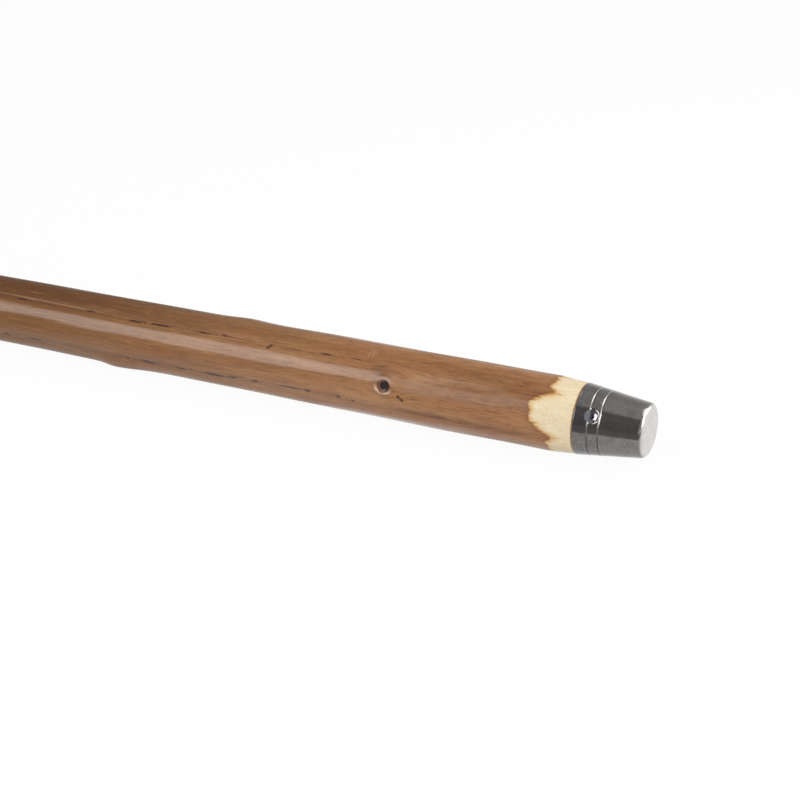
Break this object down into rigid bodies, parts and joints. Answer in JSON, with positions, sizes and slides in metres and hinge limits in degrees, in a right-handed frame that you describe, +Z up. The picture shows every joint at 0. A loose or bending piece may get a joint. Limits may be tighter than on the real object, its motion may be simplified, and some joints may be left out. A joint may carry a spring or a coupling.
{
  "type": "hiking staff",
  "caption": "Ribbed wooden hiking staff, thick end down, pared to a scalloped cone at the foot and shod with a tapered steel cup ferrule that brads hold.",
  "frame": {"origin": "centre of the ferrule's flat end face, on the staff's axis", "axes": "the staff lies along X with its ferrule towards +X and its crown towards -X; +Z is up as it lies on two of its ribs"},
  "size_m": [1.2, 0.0271, 0.0272],
  "materials": {
    "browned_wood": "peeled, browned and varnished; bare pale wood where the foot and crown are pared",
    "ferrule_steel": "satin, turned",
    "brad_steel": "blued"
  },
  "bodies": {
    "root": {"shaft": "browned_wood", "ferrule": "ferrule_steel", "ferrule_brads": "brad_steel"}
  },
  "joints": []
}
